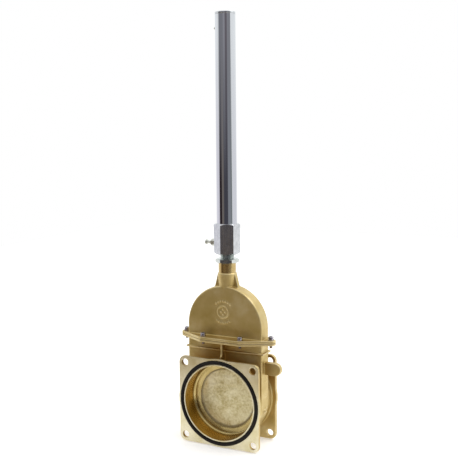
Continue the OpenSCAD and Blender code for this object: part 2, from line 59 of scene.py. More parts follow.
# The photograph's view: a long lens from the front right, a little above the bonnet.
# The place and the turns come from the square flanges, the bolt holes and the tube.
camera_data = bpy.data.cameras.new("photo_camera")
camera_data.sensor_width = 36
camera_data.lens = 63.85
camera = bpy.data.objects.new("photo_camera", camera_data)
bpy.context.scene.collection.objects.link(camera)
camera_place = Vector((0.7323, -1.4601, 0.5374))
camera_heading = 27.20
camera_dip = 6.94
camera_roll = -0.49
turn = (
    Matrix.Rotation(math.radians(camera_heading), 4, "Z")
    @ Matrix.Rotation(math.radians(90 - camera_dip), 4, "X")
    @ Matrix.Rotation(math.radians(camera_roll), 4, "Z")
)
camera.matrix_world = Matrix.Translation(camera_place) @ turn
bpy.context.scene.camera = camera
bpy.context.scene.view_settings.view_transform = "Standard"


# A sheet of white paper that the valve stands on, which ends in front of it. Its own colour
# makes the ground white, with a little glow that only the view and the metal's mirroring see.
def linear(code):
    """The linear colour of an sRGB hex code."""
    parts = [int(code[i:i + 2], 16) / 255 for i in (1, 3, 5)]
    return [p / 12.92 if p <= 0.04045 else ((p + 0.055) / 1.055) ** 2.4 for p in parts] + [1]


def add(tree, kind, inputs=(), stops=(), **settings):
    """Adds a node with its settings, its values and its links, and a ramp's (place, hex) stops."""
    made = tree.nodes.new(kind)
    for name, value in settings.items():
        setattr(made, name, value)
    for name, value in dict(inputs).items():
        if isinstance(value, bpy.types.NodeSocket):
            tree.links.new(value, made.inputs[name])
        else:
            made.inputs[name].default_value = value
    for i, (place, code) in enumerate(stops):
        stop = made.color_ramp.elements[i] if i < 2 else made.color_ramp.elements.new(place)
        stop.position = place
        stop.color = linear(code)
    return made


def blank(name):
    """A new material with an empty node tree, and that tree."""
    made = bpy.data.materials.new(name)
    made.use_nodes = True
    made.node_tree.nodes.clear()
    return made, made.node_tree


floor_z = cad_box[0][2]
paper_front = -0.40
paper_back = 3.2
paper_half = 2.4
bpy.ops.object.select_all(action="DESELECT")
bpy.ops.mesh.primitive_plane_add(size=1)
paper = bpy.context.object
paper.name = "paper_sheet"
paper.data.transform(
    Matrix.Translation((0, (paper_front + paper_back) / 2, floor_z))
    @ Matrix.Diagonal((2 * paper_half, paper_back - paper_front, 1, 1))
)
white_paper, tree = blank("white_paper")
rays = add(tree, "ShaderNodeLightPath")
matt = add(tree, "ShaderNodeBsdfDiffuse", {"Color": linear("#f2f1ee")})
either = add(
    tree, "ShaderNodeMath",
    {0: rays.outputs["Is Camera Ray"], 1: rays.outputs["Is Glossy Ray"]}, operation="MAXIMUM",
)
seen = add(tree, "ShaderNodeMath", {0: either.outputs[0], 1: 0.34}, operation="MULTIPLY")
glow = add(tree, "ShaderNodeEmission", {"Color": linear("#ffffff"), "Strength": seen.outputs[0]})
both = add(tree, "ShaderNodeAddShader", {0: matt.outputs[0], 1: glow.outputs[0]})
add(tree, "ShaderNodeOutputMaterial", {"Surface": both.outputs[0]})
paper.data.materials.append(white_paper)

# The studio: white all round, with the dark room behind the camera that the tube mirrors. A
# wooden floor lies beyond the paper, and white card covers it close by. The bands are given by
# compass direction, once for level rays and once for rising ones. Z is how steeply a ray climbs.
world = bpy.data.worlds.new("studio")
bpy.context.scene.world = world
world.use_nodes = True
tree = world.node_tree
tree.nodes.clear()
low_bands = [
    (-180, "#ecebf1"), (-152, "#e8e5ec"), (-147, "#2b2226"), (-119, "#2b2226"), (-116, "#76706b"),
    (-96, "#76706b"), (-91, "#484850"), (-50, "#484850"), (-45, "#8f9398"), (-25, "#8f9398"),
    (-1, "#7b8280"), (5, "#ebedef"), (180, "#ecebf1"),
]
high_bands = [
    (-180, "#fcffff"), (-150, "#fafdfb"), (-136, "#85868b"), (-90, "#85868b"), (-88, "#98989d"),
    (-70, "#98989d"), (-67, "#726d72"), (-47, "#726d72"), (-44, "#8e8f93"), (-9, "#8e8f93"),
    (-2, "#fbfffd"), (180, "#fcffff"),
]
way = add(tree, "ShaderNodeTexCoord")
parts = add(tree, "ShaderNodeSeparateXYZ", {0: way.outputs["Generated"]})
angle = add(
    tree, "ShaderNodeMath", {0: parts.outputs["Y"], 1: parts.outputs["X"]}, operation="ARCTAN2",
)
place = add(
    tree, "ShaderNodeMapRange",
    {"Value": angle.outputs[0], "From Min": -math.pi, "From Max": math.pi},
)
ramps = []
for bands in (low_bands, high_bands):
    stops = [((degrees + 180) / 360, code) for degrees, code in bands]
    ramps.append(add(tree, "ShaderNodeValToRGB", {0: place.outputs[0]}, stops))
rise = add(
    tree, "ShaderNodeMapRange",
    {"Value": parts.outputs["Z"], "From Min": -0.06, "From Max": 0.12},
)
level = add(
    tree, "ShaderNodeMix",
    {0: rise.outputs[0], 6: ramps[0].outputs[0], 7: ramps[1].outputs[0]}, data_type="RGBA",
)
ceiling = add(
    tree, "ShaderNodeMapRange",
    {"Value": parts.outputs["Z"], "From Min": 0.25, "From Max": 0.65},
)
walls = add(
    tree, "ShaderNodeMix",
    {0: ceiling.outputs[0], 6: level.outputs[2], 7: linear("#eeeef0")}, data_type="RGBA",
)
below = add(
    tree, "ShaderNodeMapRange",
    {"Value": parts.outputs["Z"], "From Min": -0.18, "From Max": -0.32},
)
nearer = add(
    tree, "ShaderNodeMapRange",
    {"Value": parts.outputs["Z"], "From Min": -0.22, "From Max": -0.62},
)
boards = add(
    tree, "ShaderNodeValToRGB", {0: nearer.outputs[0]},
    [(0, "#dcb56a"), (0.45, "#64542f"), (0.6, "#7d6f4c"), (1, "#f0efec")],
)
sky = add(
    tree, "ShaderNodeMix",
    {0: below.outputs[0], 6: walls.outputs[2], 7: boards.outputs[0]}, data_type="RGBA",
)
rays = add(tree, "ShaderNodeLightPath")
room = add(tree, "ShaderNodeBackground", {"Color": sky.outputs[2], "Strength": 1.2})
white = add(tree, "ShaderNodeBackground", {"Color": linear("#ffffff"), "Strength": 1})
mixed = add(
    tree, "ShaderNodeMixShader",
    {0: rays.outputs["Is Camera Ray"], 1: room.outputs[0], 2: white.outputs[0]},
)
add(tree, "ShaderNodeOutputWorld", {"Surface": mixed.outputs[0]})

# A broad soft lamp high up behind the valve on the right, which lights the arch's rim.
# It casts the soft shadow on the paper.
lamp_data = bpy.data.lights.new("soft_lamp", "AREA")
lamp_data.shape = "RECTANGLE"
lamp_data.size = 1.2
lamp_data.size_y = 0.9
lamp_data.energy = 11
lamp = bpy.data.objects.new("soft_lamp", lamp_data)
bpy.context.scene.collection.objects.link(lamp)
lamp_place = Vector((0.9, 0.5, 1.6))
lamp_aim = Vector((0, -0.04, 0.1))
lamp_turn = (lamp_aim - lamp_place).to_track_quat("-Z", "Y").to_matrix().to_4x4()
lamp.matrix_world = Matrix.Translation(lamp_place) @ lamp_turn


# The body, one sand casting in brass: the case around the gate, the plate on top that takes
# the bonnet, two pipe hubs with square flanges, webs and lug. The mould leaves soft edges,
# and the founder's marks stand out on its right side: plain dots here.
def select_only(*objects):
    """Selects these objects and makes the first one active, as a click does."""
    bpy.ops.object.select_all(action="DESELECT")
    for one in objects:
        one.select_set(True)
    bpy.context.view_layer.objects.active = objects[0]


def copy_of(name, *cad_names):
    """One new object with the merged meshes of these CAD nodes."""
    copies = []
    for cad_name in cad_names:
        copy = bpy.data.objects.new(name, nodes[cad_name].data.copy())
        bpy.context.scene.collection.objects.link(copy)
        copies.append(copy)
    select_only(*copies)
    if len(copies) > 1:
        bpy.ops.object.join()
    whole = bpy.context.object
    whole.name = name
    whole.data.materials.clear()
    bpy.ops.object.mode_set(mode="EDIT")
    bpy.ops.mesh.select_all(action="SELECT")
    bpy.ops.mesh.remove_doubles(threshold=0.00001)
    bpy.ops.object.mode_set(mode="OBJECT")
    return whole


def apply_modifier(piece, kind, **settings):
    """Adds a modifier with these settings and applies it."""
    select_only(piece)
    made = piece.modifiers.new(kind.lower(), kind)
    for name, value in settings.items():
        setattr(made, name, value)
    bpy.ops.object.modifier_apply(modifier=made.name)


def raise_dots(casting, spots, size):
    """Joins low round-topped dots of these three radii to a casting at these places."""
    dots = []
    for spot in spots:
        bpy.ops.object.select_all(action="DESELECT")
        bpy.ops.mesh.primitive_uv_sphere_add(segments=16, ring_count=8, radius=1)
        dot = bpy.context.object
        dot.data.transform(Matrix.Translation(spot) @ Matrix.Diagonal((*size, 1)))
        dots.append(dot)
    select_only(casting, *dots)
    bpy.ops.object.join()


def cast(casting, kept):
    """Fuses what was joined and softens it as a sand mould does, down to this share of faces."""
    apply_modifier(casting, "REMESH", mode="VOXEL", voxel_size=0.0008, adaptivity=0)
    apply_modifier(casting, "SMOOTH", factor=0.5, iterations=5)
    apply_modifier(casting, "DECIMATE", decimate_type="COLLAPSE", ratio=kept)
    select_only(casting)
    bpy.ops.object.shade_smooth()


def refinish(casting, finish, inside):
    """Gives the faces whose middle and normal pass the test another finish."""
    casting.data.materials.append(finish)
    slot = len(casting.data.materials) - 1
    for face in casting.data.polygons:
        if inside(face.center, face.normal):
            face.material_index = slot


def mark_shelter(casting, around, reach=0.07):
    """Writes on each point of a casting how much of its surroundings other brass covers, for
    painted shade.
    """
    count = 36
    lift = 0.001
    grazing = 0.1
    ways = []
    for i in range(count):
        rise = 1 - (2 * i + 1) / count
        heading = i * math.pi * (3 - math.sqrt(5))
        flat = math.sqrt(1 - rise * rise)
        ways.append(Vector((flat * math.cos(heading), flat * math.sin(heading), rise)))
    covered = []
    for vertex in casting.data.vertices:
        start = vertex.co + vertex.normal * lift
        seen = hidden = 0
        for way in ways:
            slope = way.dot(vertex.normal)
            if slope > grazing:
                seen += slope
                if around.ray_cast(start, way, reach)[0]:
                    hidden += slope
        covered.append(hidden / seen)
    casting.data.attributes.new("cover_for_painted_shade", "FLOAT", "POINT").data.foreach_set("value", covered)


# Sand-cast brass, lightly blasted: a satin gold skin. Its convex edges are paler, partly worn and
# partly a painted highlight; its creases and the places that other brass covers get a brown
# painted shade. Its tone drifts over 40 mm. Its sand grain is about 0.4 mm, drawn at 0.9 mm so
# that it shows.
cast_brass, tree = blank("sand_cast_brass")
where = add(tree, "ShaderNodeTexCoord").outputs["Object"]
bend = add(tree, "ShaderNodeNewGeometry").outputs["Pointiness"]
patches = add(tree, "ShaderNodeTexNoise", {"Vector": where, "Scale": 26, "Detail": 5})
tone = add(
    tree, "ShaderNodeValToRGB", {0: patches.outputs["Fac"]},
    [(0.30, "#b69f60"), (0.52, "#c6b078"), (0.70, "#d3c292")],
)
# Painted highlight, partly wear: convex edges turn pale towards #efe2bc
rubbed_edge_and_highlight = add(
    tree, "ShaderNodeMapRange",
    {"Value": bend, "From Min": 0.505, "From Max": 0.56, "To Max": 0.75},
)
# Painted shade: concave creases turn dark brown towards #745318
hollow = add(
    tree, "ShaderNodeMapRange",
    {"Value": bend, "From Min": 0.495, "From Max": 0.44, "To Max": 0.55},
)
rubbed_and_highlit_tone = add(
    tree, "ShaderNodeMix",
    {0: rubbed_edge_and_highlight.outputs[0], 6: tone.outputs[0], 7: linear("#efe2bc")}, data_type="RGBA",
)
crease_shaded_tone = add(
    tree, "ShaderNodeMix",
    {0: hollow.outputs[0], 6: rubbed_and_highlit_tone.outputs[2], 7: linear("#745318")}, data_type="RGBA",
)
# Painted shade: the more of a point's surroundings other brass covers, the browner it turns,
# towards #a87e30
cover = add(tree, "ShaderNodeAttribute", attribute_name="cover_for_painted_shade")
cover_shade = add(
    tree, "ShaderNodeMapRange",
    {"Value": cover.outputs["Fac"], "From Min": 0.30, "From Max": 0.72, "To Max": 0.7},
)
skin_tone_with_painted_light = add(
    tree, "ShaderNodeMix",
    {0: cover_shade.outputs[0], 6: crease_shaded_tone.outputs[2], 7: linear("#a87e30")}, data_type="RGBA",
)
grain = add(tree, "ShaderNodeTexNoise", {"Vector": where, "Scale": 1100, "Detail": 3})
dull = add(
    tree, "ShaderNodeMapRange",
    {"Value": grain.outputs["Fac"], "From Min": 0.3, "From Max": 0.7,
     "To Min": 0.38, "To Max": 0.54},
)
relief = add(
    tree, "ShaderNodeBump",
    {"Height": grain.outputs["Fac"], "Strength": 0.4, "Distance": 0.0004},
)
skin = add(
    tree, "ShaderNodeBsdfPrincipled",
    {"Base Color": skin_tone_with_painted_light.outputs[2], "Metallic": 0.9, "Roughness": dull.outputs[0],
     "Normal": relief.outputs[0]},
)
add(tree, "ShaderNodeOutputMaterial", {"Surface": skin.outputs[0]})

# Brass faced on a belt: the two sealing faces are paler and smoother than the cast skin, with
# fine straight scratches. They are about 0.2 mm wide, drawn at 0.8 mm so that they show.
faced_brass, tree = blank("belt_faced_brass")
where = add(tree, "ShaderNodeTexCoord").outputs["Object"]
drawn = add(
    tree, "ShaderNodeMapping",
    {"Vector": where, "Rotation": (0, math.radians(28), 0), "Scale": (60, 60, 1300)},
)
scratch = add(tree, "ShaderNodeTexNoise", {"Vector": drawn.outputs[0], "Scale": 1, "Detail": 3})
stain = add(tree, "ShaderNodeTexNoise", {"Vector": where, "Scale": 34, "Detail": 4})
stain_tone = add(
    tree, "ShaderNodeValToRGB", {0: stain.outputs["Fac"]}, [(0.35, "#dbd0a6"), (0.65, "#ece4c8")],
)
dull = add(
    tree, "ShaderNodeMapRange",
    {"Value": scratch.outputs["Fac"], "From Min": 0.3, "From Max": 0.7,
     "To Min": 0.27, "To Max": 0.42},
)
relief = add(
    tree, "ShaderNodeBump",
    {"Height": scratch.outputs["Fac"], "Strength": 0.25, "Distance": 0.0002},
)
skin = add(
    tree, "ShaderNodeBsdfPrincipled",
    {"Base Color": stain_tone.outputs[0], "Metallic": 0.85, "Roughness": dull.outputs[0],
     "Normal": relief.outputs[0]},
)
add(tree, "ShaderNodeOutputMaterial", {"Surface": skin.outputs[0]})


# Brass turned on a lathe: smooth, with rings that the tool leaves across its axis. The feed
# is about 0.2 mm, drawn at 1 mm so that it shows.
def turned_brass(name, across, low_code, high_code):
    """Turned brass whose tool rings follow each other along this axis."""
    made, tree = blank(name)
    where = add(tree, "ShaderNodeTexCoord").outputs["Object"]
    rings = add(
        tree, "ShaderNodeTexWave", {"Vector": where, "Scale": 320, "Distortion": 0.6, "Detail": 2},
        wave_type="BANDS", bands_direction=across,
    )
    stain = add(tree, "ShaderNodeTexNoise", {"Vector": where, "Scale": 45, "Detail": 3})
    tone = add(
        tree, "ShaderNodeValToRGB", {0: stain.outputs["Fac"]}, [(0.3, low_code), (0.7, high_code)],
    )
    dull = add(
        tree, "ShaderNodeMapRange",
        {"Value": rings.outputs["Fac"], "To Min": 0.16, "To Max": 0.28},
    )
    relief = add(
        tree, "ShaderNodeBump",
        {"Height": rings.outputs["Fac"], "Strength": 0.12, "Distance": 0.0002},
    )
    skin = add(
        tree, "ShaderNodeBsdfPrincipled",
        {"Base Color": tone.outputs[0], "Metallic": 1, "Roughness": dull.outputs[0],
         "Normal": relief.outputs[0]},
    )
    add(tree, "ShaderNodeOutputMaterial", {"Surface": skin.outputs[0]})
    return made


# Turned brass for the bore, darker and browner than the cast skin: painted shade inside the bore
bore_brass_painted_shade = turned_brass("bore_brass_painted_shade", "Y", "#b08a38", "#c6a152")

tube_low, tube_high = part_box("cylinder_tube")
middle_y = tube_low[1] / 2 + tube_high[1] / 2
front_face_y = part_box("front_pipe_flange")[0][1]
ring_lap = 0.0004
bore_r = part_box("front_seat_ring")[1][0] - ring_lap
chamber_half = 0.0102
case_side_x = 0.0823
kept_faces = 0.2

body = copy_of("body_casting", "valve_body", "front_pipe_flange", "rear_pipe_flange")
dot_gap, dot_rise = 0.0055, 0.002
low_dot_gap, low_dot_drop = 0.0028, 0.006
for mark_z in (0.0485, 0.0185, -0.0135):
    spots = [
        (case_side_x, middle_y + dot_gap * step, mark_z + dot_rise * abs(step))
        for step in (-1, 0, 1)
    ]
    spots += [
        (case_side_x, middle_y + low_dot_gap * step, mark_z - low_dot_drop) for step in (-1, 1)
    ]
    raise_dots(body, spots, (0.0009, 0.0019, 0.0022))
cast(body, kept_faces)

# All the castings as the CAD has them, because each covers the others' brass, which gets painted
# shade there
corners = []
faces = []
for node in ("valve_body", "front_pipe_flange", "rear_pipe_flange", "bonnet"):
    mesh = nodes[node].data
    faces += [[len(corners) + i for i in face.vertices] for face in mesh.polygons]
    corners += [vertex.co for vertex in mesh.vertices]
castings = BVHTree.FromPolygons(corners, faces)
mark_shelter(body, castings)
body.data.materials.append(cast_brass)
facing_depth = 0.0004
refinish(
    body, faced_brass,
    lambda spot, way: abs(way.y) > 0.97
    and (spot.y > -facing_depth or spot.y < front_face_y + facing_depth),
)
bore_skin = 0.0006
refinish(
    body, bore_brass_painted_shade,
    lambda spot, way: abs(math.hypot(spot.x, spot.z) - bore_r) < bore_skin
    and abs(way.y) < 0.5 and abs(spot.y - middle_y) > chamber_half,
)
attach(body, "valve")
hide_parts("valve_body", "front_pipe_flange", "rear_pipe_flange")


# The two seat rings, turned from brass bar and pressed into the hubs: the gate slides between
# their polished lips. Their inner end is relieved to a hollow round, which catches the light.
def turned(name, outline, steps=96):
    """A solid spun about +Z from (radius, height) points, drawn point by point."""
    bpy.ops.object.select_all(action="DESELECT")
    bpy.ops.mesh.primitive_plane_add(size=0.001)
    piece = bpy.context.object
    piece.name = name
    bpy.ops.object.mode_set(mode="EDIT")
    bpy.ops.mesh.select_all(action="SELECT")
    bpy.ops.mesh.merge(type="CENTER")
    bpy.ops.transform.translate(value=(outline[0][0], 0, outline[0][1]))
    for (r, z), (next_r, next_z) in zip(outline, outline[1:]):
        move = (next_r - r, 0, next_z - z)
        bpy.ops.mesh.extrude_region_move(TRANSFORM_OT_translate={"value": move})
    bpy.ops.mesh.select_all(action="SELECT")
    bpy.ops.mesh.spin(steps=steps, angle=2 * math.pi, center=(0, 0, 0), axis=(0, 0, 1))
    bpy.ops.mesh.select_all(action="SELECT")
    bpy.ops.mesh.remove_doubles(threshold=0.000005)
    bpy.ops.mesh.normals_make_consistent(inside=False)
    bpy.ops.object.mode_set(mode="OBJECT")
    bpy.ops.object.shade_smooth_by_angle(angle=math.radians(35))
    return piece


def arc(middle, radius, start, end, count):
    """Points on an arc about a (radius, height) point, from one angle to another in degrees."""
    angles = [math.radians(start + (end - start) * i / count) for i in range(count + 1)]
    return [(middle[0] + radius * math.cos(a), middle[1] + radius * math.sin(a)) for a in angles]


# Turned brass for the seats and the gate's rim, darker than the neck's: painted shade down in the
# bore
seat_brass_painted_shade = turned_brass("turned_seat_brass", "Y", "#a6915c", "#b8a571")
ring_t = 0.0029
pressed_l = 0.004
edge = 0.0003
seat_step = 0.0055
seat_r = bore_r - seat_step
cove_r = bore_r - seat_r
for node, way in (("rear_seat_ring", 1), ("front_seat_ring", -1)):
    outer_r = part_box(node)[1][0]
    outline = [(seat_r + edge, 0), (outer_r - edge, 0), (outer_r, edge)]
    outline += [(outer_r, ring_t), (bore_r, ring_t)]
    outline += arc((seat_r, ring_t + pressed_l), cove_r, 0, -90, 12)
    outline += [(seat_r, edge), (seat_r + edge, 0)]
    ring = turned(node.replace("seat_ring", "seat_lip"), outline, 160)
    start_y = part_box(node)[0][1] if way > 0 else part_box(node)[1][1]
    ring.data.transform(
        Matrix.Translation((0, start_y, 0)) @ Matrix.Rotation(math.radians(-90 * way), 4, "X")
    )
    ring.data.materials.append(seat_brass_painted_shade)
    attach(ring, "valve")
    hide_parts(node)

# The gate, a round brass plate: its rim is turned to slide between the seats and dished a
# little towards the recess, which is left as it came from the sand, coarse and mottled.
gate = copy_of("gate_plate", "gate")
apply_modifier(gate, "REMESH", mode="VOXEL", voxel_size=0.0009, adaptivity=0)
apply_modifier(gate, "SMOOTH", factor=0.5, iterations=2)
recess_r = 0.0588
dish_start_r = 0.0594
dish_r = 0.0712
dish_slope = 0.16
dish_skin = 0.0012
face_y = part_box("gate")[1][1] - middle_y
for vertex in gate.data.vertices:
    r = math.hypot(vertex.co.x, vertex.co.z)
    depth = face_y - abs(vertex.co.y - middle_y)
    if dish_start_r < r < dish_r and depth < dish_skin:
        side = 1 if vertex.co.y > middle_y else -1
        vertex.co.y -= side * dish_slope * (dish_r - r)
apply_modifier(gate, "SMOOTH", factor=0.5, iterations=6)
recess = gate.vertex_groups.new(name="cast_recess")
core_half = 0.001
for vertex in gate.data.vertices:
    r = math.hypot(vertex.co.x, vertex.co.z)
    if r < recess_r and abs(vertex.co.y - middle_y) > core_half:
        recess.add([vertex.index], 1, "REPLACE")
for grain_size, height in ((0.006, 0.0007), (0.0024, 0.0003)):
    clumps = bpy.data.textures.new("sand_clumps", "CLOUDS")
    clumps.noise_scale = grain_size
    apply_modifier(
        gate, "DISPLACE",
        texture=clumps, strength=height, mid_level=0.5, vertex_group="cast_recess",
    )
apply_modifier(gate, "DECIMATE", decimate_type="COLLAPSE", ratio=0.4)
select_only(gate)
bpy.ops.object.shade_smooth()

# Rough sand-cast brass: pale, with duller patches 15 to 30 mm across and faint specks of 2 to
# 4 mm where sand burnt in. A ring of dark brown painted shade lies in the recess's corner.
rough_brass, tree = blank("rough_sand_brass")
where = add(tree, "ShaderNodeTexCoord").outputs["Object"]
flat = add(tree, "ShaderNodeVectorMath", {0: where, 1: (1, 0, 1)}, operation="MULTIPLY")
from_axis = add(tree, "ShaderNodeVectorMath", {0: flat.outputs[0]}, operation="LENGTH")
clumps = add(
    tree, "ShaderNodeTexNoise", {"Vector": where, "Scale": 260, "Detail": 4, "Roughness": 0.6},
)
patches = add(tree, "ShaderNodeTexNoise", {"Vector": where, "Scale": 38, "Detail": 3})
blotch = add(
    tree, "ShaderNodeMix",
    {0: 0.45, 2: patches.outputs["Fac"], 3: clumps.outputs["Fac"]}, data_type="FLOAT",
)
tone = add(
    tree, "ShaderNodeValToRGB", {0: blotch.outputs[0]},
    [(0.36, "#c2b17c"), (0.50, "#ded2a6"), (0.63, "#efe6c4")],
)
# Painted shade: darker brown towards the recess's corner, 56 to 59.6 mm from the axis
corner = add(
    tree, "ShaderNodeMapRange",
    {"Value": from_axis.outputs["Value"], "From Min": 0.0560, "From Max": 0.0596, "To Max": 0.8},
)
skin_tone_with_painted_light = add(
    tree, "ShaderNodeMix",
    {0: corner.outputs[0], 6: tone.outputs[0], 7: linear("#5e4619")}, data_type="RGBA",
)
relief = add(
    tree, "ShaderNodeBump",
    {"Height": clumps.outputs["Fac"], "Strength": 0.35, "Distance": 0.0005},
)
skin = add(
    tree, "ShaderNodeBsdfPrincipled",
    {"Base Color": skin_tone_with_painted_light.outputs[2], "Metallic": 0.8, "Roughness": 0.46,
     "Normal": relief.outputs[0]},
)
add(tree, "ShaderNodeOutputMaterial", {"Surface": skin.outputs[0]})
gate.data.materials.append(rough_brass)
rim_r = 0.0602
rim_depth = 0.0026
refinish(
    gate, seat_brass_painted_shade,
    lambda spot, way: math.hypot(spot.x, spot.z) > rim_r and abs(way.y) > 0.9
    and abs(spot.y - middle_y) > face_y - rim_depth,
)
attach(gate, "gate_and_rod")
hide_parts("gate")


# The pipe seals: the front one is a round cord ring in its groove, proud of the flange, and
# the rear one is squeezed flush. Both are moulded nitrile rubber: matt black, with a little
# dust in patches 11 mm across. The front one has a thin flash line.
def dress(node, finish):
    """Gives a CAD node this one finish."""
    nodes[node].data.materials.clear()
    nodes[node].data.materials.append(finish)


nitrile, tree = blank("moulded_nitrile")
where = add(tree, "ShaderNodeTexCoord").outputs["Object"]
dust = add(tree, "ShaderNodeTexNoise", {"Vector": where, "Scale": 90, "Detail": 5})
tone = add(
    tree, "ShaderNodeValToRGB", {0: dust.outputs["Fac"]}, [(0.42, "#110c08"), (0.75, "#241d16")],
)
relief = add(
    tree, "ShaderNodeBump",
    {"Height": dust.outputs["Fac"], "Strength": 0.2, "Distance": 0.0003},
)
skin = add(
    tree, "ShaderNodeBsdfPrincipled",
    {"Base Color": tone.outputs[0], "Roughness": 0.6, "Specular IOR Level": 0.2,
     "Normal": relief.outputs[0]},
)
add(tree, "ShaderNodeOutputMaterial", {"Surface": skin.outputs[0]})

low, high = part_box("front_pipe_seal")
cord_r = (high[1] - low[1]) / 2
flash = 0.00012
cord_middle = (high[0] - cord_r, 0)
cord = arc(cord_middle, cord_r - flash, -90, 90, 16)
cord = cord[:8] + [(high[0] - flash / 2, 0)] + cord[9:]
cord += arc(cord_middle, cord_r - flash, 90, 270, 16)[1:]
seal = turned("cord_ring", cord, 180)
seal.data.transform(
    Matrix.Translation((0, (low[1] + high[1]) / 2, 0)) @ Matrix.Rotation(math.radians(90), 4, "X")
)
select_only(seal)
bpy.ops.object.shade_smooth()
seal.data.materials.append(nitrile)
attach(seal, "valve")
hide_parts("front_pipe_seal")
dress("rear_pipe_seal", nitrile)

# The bonnet, cast in the same brass: a hollow arch that takes the lifted gate, on a plate
# with six screws. The founder's mark is a plain ring between two rows of dots here. Only the
# top of its neck is turned.
bonnet = copy_of("bonnet_casting", "bonnet")
bonnet_half = 0.0162
bonnet_face_y = middle_y - bonnet_half
mark_x = -0.002
mark_z = 0.179
row_half_x, row_half_z = 0.023, 0.022
dot_reach_x, dot_reach_z = 0.0045, 0.0055
ring_r = 0.012
bead_r = 0.0011
spots = []
for degrees in (*range(48, 133, 14), *range(234, 307, 12)):
    a = math.radians(degrees)
    spot_x = mark_x + row_half_x * math.cos(a)
    spots.append((spot_x, bonnet_face_y, mark_z + row_half_z * math.sin(a)))
spots += [(mark_x + dot_reach_x * step, bonnet_face_y, mark_z) for step in (-1, 1)]
spots += [(mark_x, bonnet_face_y, mark_z + dot_reach_z * step) for step in (-1, 1)]
raise_dots(bonnet, spots, (0.0016, 0.0011, 0.0021))
bpy.ops.object.select_all(action="DESELECT")
bpy.ops.mesh.primitive_torus_add(
    major_radius=ring_r, minor_radius=bead_r, major_segments=64, minor_segments=12,
)
ring = bpy.context.object
ring.data.transform(
    Matrix.Translation((mark_x, bonnet_face_y, mark_z)) @ Matrix.Rotation(math.radians(90), 4, "X")
)
select_only(bonnet, ring)
bpy.ops.object.join()
cast(bonnet, kept_faces)
mark_shelter(bonnet, castings)
bonnet.data.materials.append(cast_brass)
neck_brass = turned_brass("turned_neck_brass", "Z", "#b69d68", "#c5ae7c")
turned_l = 0.0212
turned_r = 0.0181
ledge_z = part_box("bonnet")[1][2] - turned_l
refinish(
    bonnet, neck_brass,
    lambda spot, way: spot.z > ledge_z and math.hypot(spot.x, spot.y - middle_y) < turned_r,
)
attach(bonnet, "valve")
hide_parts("bonnet")

# The joint's gasket, cut from tan fibre sheet: only its thin edge shows, matt and a little
# uneven. Its fibres are about 0.3 mm wide, drawn at 1.4 mm so that they show.
fibre, tree = blank("compressed_fibre_sheet")
where = add(tree, "ShaderNodeTexCoord").outputs["Object"]
strands = add(tree, "ShaderNodeTexNoise", {"Vector": where, "Scale": 700, "Detail": 3})
tone = add(
    tree, "ShaderNodeValToRGB", {0: strands.outputs["Fac"]},
    [(0.35, "#866838"), (0.65, "#9f8352")],
)
relief = add(
    tree, "ShaderNodeBump",
    {"Height": strands.outputs["Fac"], "Strength": 0.4, "Distance": 0.0002},
)
skin = add(
    tree, "ShaderNodeBsdfPrincipled",
    {"Base Color": tone.outputs[0], "Roughness": 0.85, "Specular IOR Level": 0.2,
     "Normal": relief.outputs[0]},
)
add(tree, "ShaderNodeOutputMaterial", {"Surface": skin.outputs[0]})
dress("bonnet_gasket", fibre)


# Six socket-head screws hold the bonnet down. They are steel, rolled with a fine knurl and
# thread, zinc plated, and their ends stand out below the body's plate.
def plated(name, bloom_scale, low_code, high_code, least_dull, most_dull, metallic=1):
    """Plated steel whose tone and dullness come and go in soft patches."""
    made, tree = blank(name)
    where = add(tree, "ShaderNodeTexCoord").outputs["Object"]
    bloom = add(tree, "ShaderNodeTexNoise", {"Vector": where, "Scale": bloom_scale, "Detail": 4})
    tone = add(
        tree, "ShaderNodeValToRGB", {0: bloom.outputs["Fac"]},
        [(0.35, low_code), (0.65, high_code)],
    )
    dull = add(
        tree, "ShaderNodeMapRange",
        {"Value": bloom.outputs["Fac"], "From Min": 0.3, "From Max": 0.7,
         "To Min": least_dull, "To Max": most_dull},
    )
    skin = add(
        tree, "ShaderNodeBsdfPrincipled",
        {"Base Color": tone.outputs[0], "Metallic": metallic, "Roughness": dull.outputs[0]},
    )
    add(tree, "ShaderNodeOutputMaterial", {"Surface": skin.outputs[0]})
    return made


# Zinc plate: a soft grey shine with a faint bloom in patches 4 mm across
zinc = plated("zinc_plated_steel", 260, "#a19ba1", "#c4bfc4", 0.16, 0.26)

screw_sides = ("front_left", "front_right", "right_end", "rear_right", "rear_left", "left_end")
low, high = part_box("bonnet_screw_front_left")
head_r = (high[0] - low[0]) / 2
shank_r = 0.003
head_h = 0.006
end_l = 0.006
head_foot = high[2] - head_h
plate_foot = low[2] + end_l
pitch = 0.001
thread_depth = 0.0005
thread_turns = 6
teeth = 56
knurl_share = 0.93
rim_skin = 0.0001
outline = [(0, low[2]), (shank_r - thread_depth, low[2])]
for step in range(thread_turns):
    crest = low[2] + pitch * (step + 0.5)
    outline += [(shank_r, crest), (shank_r - thread_depth, crest + pitch / 2)]
outline += [(shank_r, plate_foot + 0.0006), (shank_r, head_foot), (head_r - 0.0003, head_foot)]
outline += [(head_r, head_foot + 0.0003), (head_r, high[2] - 0.0008)]
outline += [(head_r - 0.0004, high[2] - 0.0002), (head_r - 0.0008, high[2]), (0, high[2])]
screw = turned("socket_screw", outline, teeth)
bpy.ops.object.mode_set(mode="EDIT")
bpy.ops.mesh.select_all(action="DESELECT")
shape = bmesh.from_edit_mesh(screw.data)
for vertex in shape.verts:
    tooth = round(math.degrees(math.atan2(vertex.co.y, vertex.co.x)) / 360 * teeth)
    from_axis = math.hypot(vertex.co.x, vertex.co.y)
    on_rim = vertex.co.z > head_foot and from_axis > head_r - rim_skin
    vertex.select = on_rim and tooth % 2 == 0
shape.select_flush_mode()
